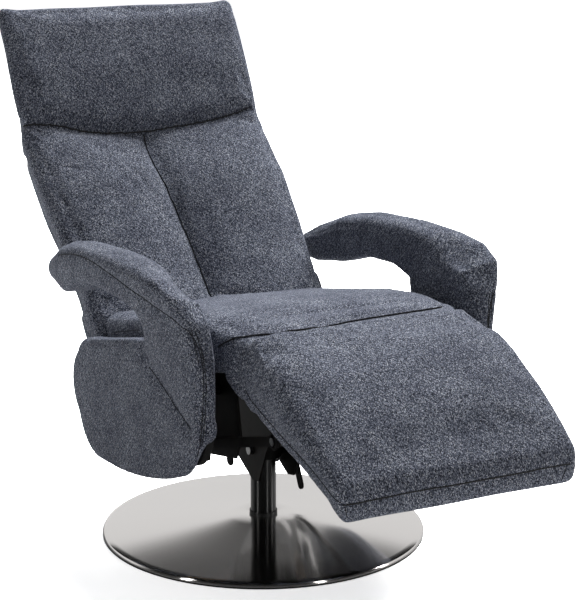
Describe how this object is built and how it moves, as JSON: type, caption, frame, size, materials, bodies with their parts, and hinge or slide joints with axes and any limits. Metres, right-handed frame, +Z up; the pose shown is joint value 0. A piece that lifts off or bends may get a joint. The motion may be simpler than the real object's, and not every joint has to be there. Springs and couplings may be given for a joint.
{
  "type": "reclining lounge chair",
  "caption": "Swivel recliner in woven blue-grey fabric: looped arms, tufted leaning back, tilting headrest and folding leg rest on a round brushed steel foot.",
  "frame": {"origin": "centre of the floor disc, on the floor", "axes": "+Z up, the chair faces -Y, +X to the sitter's left"},
  "size_m": [0.7062, 1.4344, 0.9754],
  "materials": {
    "brushed_stainless": "spun and brushed",
    "black_rubber": "matt",
    "cast_iron": "raw",
    "gloss_black_steel": "gloss black",
    "black_plastic": "moulded",
    "zinc_plated_steel": "zinc plated",
    "plywood": "raw plywood",
    "elastic_webbing": "woven strap",
    "upholstery": "woven blue-grey melange",
    "black_steel": "satin black coat"
  },
  "bodies": {
    "base": {"base_disc": "brushed_stainless", "base_foot_ring": "black_rubber", "base_ballast": "cast_iron", "column_flange": "cast_iron", "flange_screws": "zinc_plated_steel", "column_tube": "gloss_black_steel", "column_trim_ring": "black_plastic", "column_bush": "black_plastic"},
    "seat": {"swivel_spindle": "zinc_plated_steel", "swivel_hub": "black_steel", "hub_bolts": "zinc_plated_steel", "cross_tube_front": "black_steel", "cross_tube_rear": "black_steel", "seat_bar_front": "plywood", "seat_bar_rear": "plywood", "seat_strap_1": "elastic_webbing", "seat_strap_2": "elastic_webbing", "seat_strap_3": "elastic_webbing", "seat_cushion": "upholstery", "knee_pad": "upholstery", "back_pivot_pins": "zinc_plated_steel", "leg_pivot_pins": "zinc_plated_steel", "stop_link": "black_steel", "stop_pin": "zinc_plated_steel", "bracket_cheek_left": "black_steel", "bracket_cheek_right": "black_steel", "side_plate_left": "black_steel", "side_plate_right": "black_steel", "seat_rail_left": "black_steel", "seat_rail_right": "black_steel", "back_pivot_plate_left": "black_steel", "back_pivot_plate_right": "black_steel", "leg_pivot_plate_left": "black_steel", "leg_pivot_plate_right": "black_steel", "side_board_left": "plywood", "side_board_right": "plywood", "side_panel_left": "upholstery", "side_panel_right": "upholstery", "arm_left": "upholstery", "arm_right": "upholstery"},
    "back": {"back_bracket_left": "black_steel", "back_bracket_right": "black_steel", "back_lever_left": "black_steel", "back_lever_right": "black_steel", "back_cross_tube": "black_steel", "lever_pins": "zinc_plated_steel", "back_board": "plywood", "back_pad": "upholstery", "head_hinge_plate_left": "black_steel", "head_hinge_plate_right": "black_steel", "head_pins": "zinc_plated_steel"},
    "headrest": {"head_bracket_left": "black_steel", "head_bracket_right": "black_steel", "head_board": "plywood", "head_pad": "upholstery"},
    "legrest": {"leg_bracket_left": "black_steel", "leg_bracket_right": "black_steel", "leg_lever_pins": "zinc_plated_steel", "leg_board": "plywood", "leg_pad": "upholstery"},
    "rod_left": {"drive_rod_left": "black_steel"},
    "rod_right": {"drive_rod_right": "black_steel"}
  },
  "joints": [
    {"name": "swivel", "type": "hinge", "parent": "base", "child": "seat", "pos_m": [0, 0, 0.15], "axis": [0, 0, 1], "continuous": true},
    {"name": "back_recline", "type": "hinge", "parent": "seat", "child": "back", "pos_m": [0, 0.245, 0.365], "axis": [1, 0, 0], "range_deg": [-6, 30]},
    {"name": "headrest_tilt", "type": "hinge", "parent": "back", "child": "headrest", "pos_m": [0, 0.55599, 0.70013], "axis": [1, 0, 0], "range_deg": [-18, 15]},
    {"name": "legrest_fold", "type": "hinge", "parent": "seat", "child": "legrest", "pos_m": [0, -0.395, 0.432], "axis": [1, 0, 0], "range_deg": [-13.1, 65.1]},
    {"name": "rod_left_swing", "type": "hinge", "parent": "back", "child": "rod_left", "pos_m": [0, 0.19926, 0.14981], "axis": [1, 0, 0], "range_deg": [-30.1, 6.1]},
    {"name": "rod_right_swing", "type": "hinge", "parent": "back", "child": "rod_right", "pos_m": [0, 0.19926, 0.14981], "axis": [1, 0, 0], "range_deg": [-30.1, 6.1]}
  ],
  "couplings": [
    {"joint": "legrest_fold", "follows": "back_recline", "ratio": 2.1667},
    {"joint": "rod_left_swing", "follows": "back_recline", "ratio": -1},
    {"joint": "rod_right_swing", "follows": "back_recline", "ratio": -1}
  ]
}
